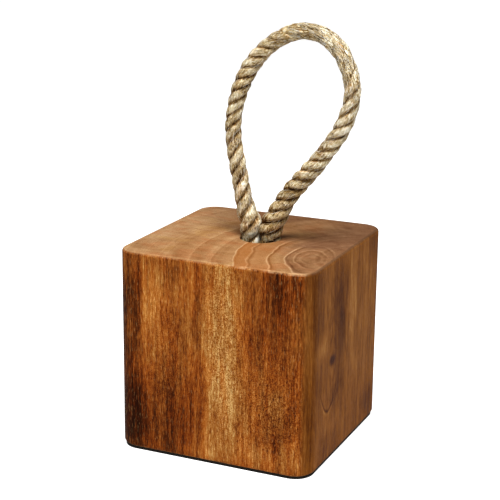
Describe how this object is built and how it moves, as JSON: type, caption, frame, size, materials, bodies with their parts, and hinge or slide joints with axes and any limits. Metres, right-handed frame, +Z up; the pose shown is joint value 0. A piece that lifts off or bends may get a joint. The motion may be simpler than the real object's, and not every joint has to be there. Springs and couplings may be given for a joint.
{
  "type": "door stop block",
  "caption": "Solid hardwood cube door stop with a three-strand rope hand loop glued into its top and an anti-slip pad under its base.",
  "frame": {"origin": "on the floor, under the centre of the block, at the underside of the anti-slip pad", "axes": "+Z up, -Y the front face of the block, the rope loop at rest lies in the XZ plane and leans towards +X"},
  "size_m": [0.123, 0.12, 0.2471],
  "materials": {
    "oiled_hardwood": "satin oil",
    "pad_rubber": "matt",
    "set_adhesive": "matt",
    "whipping_twine": "waxed",
    "rope_fibre": "natural plant fibre"
  },
  "bodies": {
    "block": {"wood_block": "oiled_hardwood", "base_pad": "pad_rubber", "adhesive_plug": "set_adhesive", "end_whipping_left": "whipping_twine", "end_whipping_right": "whipping_twine", "strand_a_anchor": "rope_fibre", "strand_b_anchor": "rope_fibre", "strand_c_anchor": "rope_fibre"},
    "rope_neck": {"strand_a_neck": "rope_fibre", "strand_b_neck": "rope_fibre", "strand_c_neck": "rope_fibre"},
    "rope_mid": {"strand_a_mid": "rope_fibre", "strand_b_mid": "rope_fibre", "strand_c_mid": "rope_fibre"},
    "rope_loop": {"strand_a_loop": "rope_fibre", "strand_b_loop": "rope_fibre", "strand_c_loop": "rope_fibre"}
  },
  "joints": [
    {"name": "handle_lean", "type": "hinge", "parent": "block", "child": "rope_neck", "pos_m": [0.004, 0, 0.122], "axis": [0, 1, 0], "range_deg": [-20, 20], "stiffness_Nm_per_rad": 0.12},
    {"name": "handle_fold", "type": "hinge", "parent": "rope_neck", "child": "rope_mid", "pos_m": [0.004, 0, 0.14], "axis": [1, 0, 0], "range_deg": [-50, 50], "stiffness_Nm_per_rad": 0.06},
    {"name": "handle_fold_upper", "type": "hinge", "parent": "rope_mid", "child": "rope_loop", "pos_m": [0.004, 0, 0.164], "axis": [1, 0, 0], "range_deg": [-50, 50], "stiffness_Nm_per_rad": 0.04}
  ],
  "couplings": [
    {"joint": "handle_fold_upper", "follows": "handle_fold", "ratio": 1}
  ]
}
